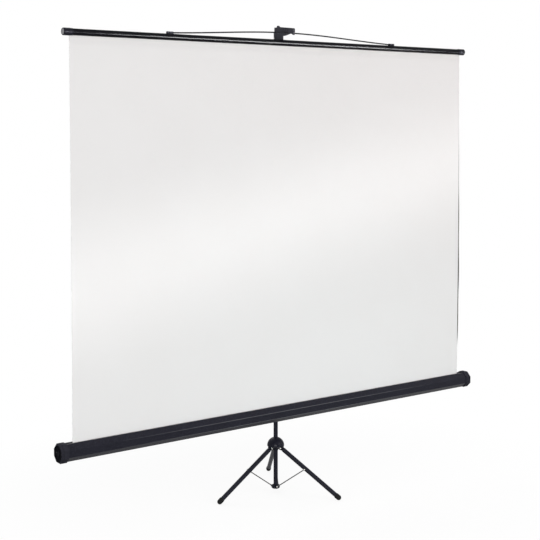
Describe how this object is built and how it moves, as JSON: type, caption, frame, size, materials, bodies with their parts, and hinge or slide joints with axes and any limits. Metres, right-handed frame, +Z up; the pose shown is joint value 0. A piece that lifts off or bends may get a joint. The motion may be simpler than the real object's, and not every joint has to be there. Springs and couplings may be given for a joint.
{
  "type": "tripod projection screen",
  "caption": "Projection screen on a folding tripod: a matt sheet drawn up from an octagonal roller case and hooked by its wire bail on a telescopic mast.",
  "frame": {"origin": "on the floor, under the mast axis, at the middle of the object's box", "axes": "+X along the screen to the right of someone who looks at its white side, +Y to the back, +Z up the mast"},
  "size_m": [2.12, 0.5206, 1.987],
  "materials": {
    "black_paint": "satin black powder coat",
    "black_moulding": "fine moulded grain",
    "black_rubber": "matt",
    "plated_steel": "dull zinc plate",
    "spring_steel": "oil-blackened spring wire",
    "white_cloth": "matt white front, black back",
    "white_nylon": "natural nylon"
  },
  "bodies": {
    "mast": {"mast_tube": "black_paint", "base_plug": "black_moulding", "base_collar": "black_moulding", "hub_stop_ring": "black_moulding", "mast_collar": "black_moulding", "brace_pin_1": "plated_steel", "brace_pin_2": "plated_steel", "brace_pin_3": "plated_steel"},
    "extension_knob": {"extension_knob": "black_moulding"},
    "hub": {"leg_hub": "black_moulding", "hub_pin_1": "plated_steel", "hub_pin_2": "plated_steel", "hub_pin_3": "plated_steel"},
    "leg_1": {"leg_knuckle_1": "black_moulding", "leg_tube_1": "black_paint", "foot_cap_1": "black_rubber"},
    "leg_2": {"leg_knuckle_2": "black_moulding", "leg_tube_2": "black_paint", "foot_cap_2": "black_rubber"},
    "leg_3": {"leg_knuckle_3": "black_moulding", "leg_tube_3": "black_paint", "foot_cap_3": "black_rubber"},
    "brace_1": {"brace_rod_1": "plated_steel", "brace_rivet_1": "plated_steel"},
    "brace_2": {"brace_rod_2": "plated_steel", "brace_rivet_2": "plated_steel"},
    "brace_3": {"brace_rod_3": "plated_steel", "brace_rivet_3": "plated_steel"},
    "case": {"carriage_sleeve": "black_moulding", "case_bracket": "black_paint", "pivot_bolt": "plated_steel", "pivot_washer": "white_nylon", "case_shell": "black_paint", "case_cap_left": "black_moulding", "case_cap_right": "black_moulding", "roller_spindle": "plated_steel", "idler_pin": "plated_steel", "torsion_spring": "spring_steel", "screen_sheet": "white_cloth"},
    "carriage_knob": {"carriage_knob": "black_moulding"},
    "roller": {"roller_tube": "plated_steel", "roller_bush_left": "white_nylon", "roller_bush_right": "white_nylon", "fabric_roll": "white_cloth"},
    "extension": {"extension_tube": "black_paint", "extension_plug": "black_moulding", "mast_head": "black_moulding", "batten_tube": "black_paint", "batten_cap_left": "black_moulding", "batten_cap_right": "black_moulding", "hem_rod": "plated_steel", "bail_wire": "spring_steel", "bail_clip_left": "black_moulding", "bail_clip_right": "black_moulding"}
  },
  "joints": [
    {"name": "hub_slide", "type": "slide", "parent": "mast", "child": "hub", "axis": [0, 0, 1], "range_m": [0, 0.1223]},
    {"name": "leg_1_fold", "type": "hinge", "parent": "hub", "child": "leg_1", "pos_m": [-0.026, 0, 0.191], "axis": [0, -1, 0], "range_deg": [0, 54.4]},
    {"name": "leg_2_fold", "type": "hinge", "parent": "hub", "child": "leg_2", "pos_m": [0.013, -0.02252, 0.191], "axis": [0.866, 0.5, 0], "range_deg": [0, 54.4]},
    {"name": "leg_3_fold", "type": "hinge", "parent": "hub", "child": "leg_3", "pos_m": [0.013, 0.02252, 0.191], "axis": [-0.866, 0.5, 0], "range_deg": [0, 54.4]},
    {"name": "brace_1_fold", "type": "hinge", "parent": "mast", "child": "brace_1", "pos_m": [-0.0125, 0.0106, 0.024], "axis": [0, 1, 0], "range_deg": [0, 48.6]},
    {"name": "brace_2_fold", "type": "hinge", "parent": "mast", "child": "brace_2", "pos_m": [-0.00293, -0.01613, 0.024], "axis": [-0.866, -0.5, 0], "range_deg": [0, 48.6]},
    {"name": "brace_3_fold", "type": "hinge", "parent": "mast", "child": "brace_3", "pos_m": [0.01543, 0.00553, 0.024], "axis": [0.866, -0.5, 0], "range_deg": [0, 48.6]},
    {"name": "case_lift", "type": "slide", "parent": "mast", "child": "case", "axis": [0, 0, 1], "range_m": [0, 0.3]},
    {"name": "extension_slide", "type": "slide", "parent": "case", "child": "extension", "axis": [0, 0, 1], "range_m": [-0.65, 0], "deforming": ["screen_sheet"]},
    {"name": "roller_spin", "type": "hinge", "parent": "case", "child": "roller", "pos_m": [0, -0.0754, 0.365], "axis": [1, 0, 0], "range_deg": [0, 2760]},
    {"name": "extension_knob_turn", "type": "hinge", "parent": "mast", "child": "extension_knob", "pos_m": [0, 0.03, 1.215], "axis": [0, 1, 0], "range_deg": [-360, 0]},
    {"name": "carriage_knob_turn", "type": "hinge", "parent": "case", "child": "carriage_knob", "pos_m": [0, 0.03, 0.398], "axis": [0, 1, 0], "range_deg": [-360, 0]}
  ],
  "couplings": [
    {"joint": "leg_1_fold", "follows": "hub_slide", "rad_per_m": 7.7557},
    {"joint": "leg_2_fold", "follows": "hub_slide", "rad_per_m": 7.7557},
    {"joint": "leg_3_fold", "follows": "hub_slide", "rad_per_m": 7.7557},
    {"joint": "brace_1_fold", "follows": "hub_slide", "rad_per_m": 6.9213},
    {"joint": "brace_2_fold", "follows": "hub_slide", "rad_per_m": 6.9213},
    {"joint": "brace_3_fold", "follows": "hub_slide", "rad_per_m": 6.9213},
    {"joint": "roller_spin", "follows": "extension_slide", "rad_per_m": -74}
  ]
}
